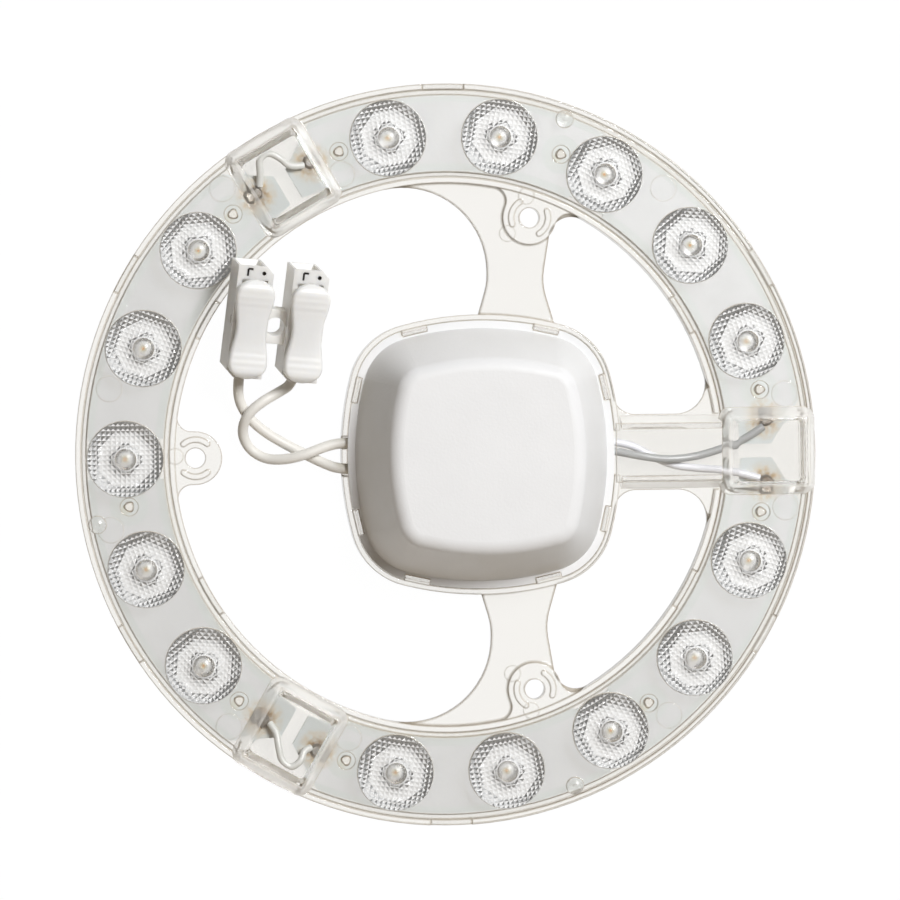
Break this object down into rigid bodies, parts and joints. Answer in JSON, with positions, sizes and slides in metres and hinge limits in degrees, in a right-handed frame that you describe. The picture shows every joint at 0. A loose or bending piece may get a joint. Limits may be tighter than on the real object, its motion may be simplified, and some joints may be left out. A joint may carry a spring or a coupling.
{
  "type": "led retrofit module",
  "caption": "Clear ring-shaped LED retrofit module with prism lenses round a square driver, screw ears and a push-in terminal on its mains leads.",
  "frame": {"origin": "centre of the ring on the flat back face", "axes": "+Z out of the lit side, +X along the arm with the wire tunnel"},
  "size_m": [0.15, 0.15, 0.0225],
  "materials": {
    "clear_tray": "clear moulded polycarbonate, polished",
    "clear_lens": "clear moulded acrylic with prism facets under each lens",
    "lamp_board": "white solder mask over laminate",
    "lamp_chip": "white package with a yellow phosphor window",
    "cover_white": "white moulded plastic, finely textured",
    "driver_board": "green solder mask over laminate",
    "capacitor_can": "sleeved aluminium can",
    "ferrite": "dark sintered ferrite",
    "coil_tape": "yellow winding tape",
    "film_red": "dipped epoxy",
    "fuse_body": "painted ceramic",
    "black_package": "moulded epoxy",
    "solder": "dull tin solder",
    "wire_grey": "grey insulation",
    "wire_white": "white insulation",
    "terminal_white": "milky white moulded plastic",
    "rocker_white": "milky white moulded plastic",
    "contact_metal": "tinned spring strip",
    "lead_white": "white insulation"
  },
  "bodies": {
    "module": {"base_tray": "clear_tray", "lens_ring": "clear_lens", "led_board_1": "lamp_board", "led_board_2": "lamp_board", "led_board_3": "lamp_board", "led_chip_01": "lamp_chip", "led_chip_02": "lamp_chip", "led_chip_03": "lamp_chip", "led_chip_04": "lamp_chip", "led_chip_05": "lamp_chip", "led_chip_06": "lamp_chip", "led_chip_07": "lamp_chip", "led_chip_08": "lamp_chip", "led_chip_09": "lamp_chip", "led_chip_10": "lamp_chip", "led_chip_11": "lamp_chip", "led_chip_12": "lamp_chip", "led_chip_13": "lamp_chip", "led_chip_14": "lamp_chip", "led_chip_15": "lamp_chip", "driver_cover": "cover_white", "driver_board": "driver_board", "input_capacitor": "capacitor_can", "output_capacitor": "capacitor_can", "transformer_core": "ferrite", "transformer_coil": "coil_tape", "film_capacitor": "film_red", "fuse_resistor": "fuse_body", "bridge_rectifier": "black_package", "driver_chip": "black_package", "solder_joints": "solder", "driver_wire_grey": "wire_grey", "driver_wire_white": "wire_white", "jumper_wire_1": "wire_white", "jumper_wire_2": "wire_white", "terminal_body": "terminal_white", "contact_strip_left": "contact_metal", "contact_strip_right": "contact_metal", "mains_lead_1": "lead_white", "mains_lead_2": "lead_white"},
    "rocker_left": {"rocker_left": "rocker_white"},
    "rocker_right": {"rocker_right": "rocker_white"}
  },
  "joints": [
    {"name": "rocker_left_rock", "type": "hinge", "parent": "module", "child": "rocker_left", "pos_m": [-0.04005, 0.0277, 0.01053], "axis": [0.9819, -0.0896, -0.1671], "range_deg": [-4, 4], "stiffness_Nm_per_rad": 0.2},
    {"name": "rocker_right_rock", "type": "hinge", "parent": "module", "child": "rocker_right", "pos_m": [-0.02885, 0.02668, 0.00862], "axis": [0.9819, -0.0896, -0.1671], "range_deg": [-4, 4], "stiffness_Nm_per_rad": 0.2}
  ]
}
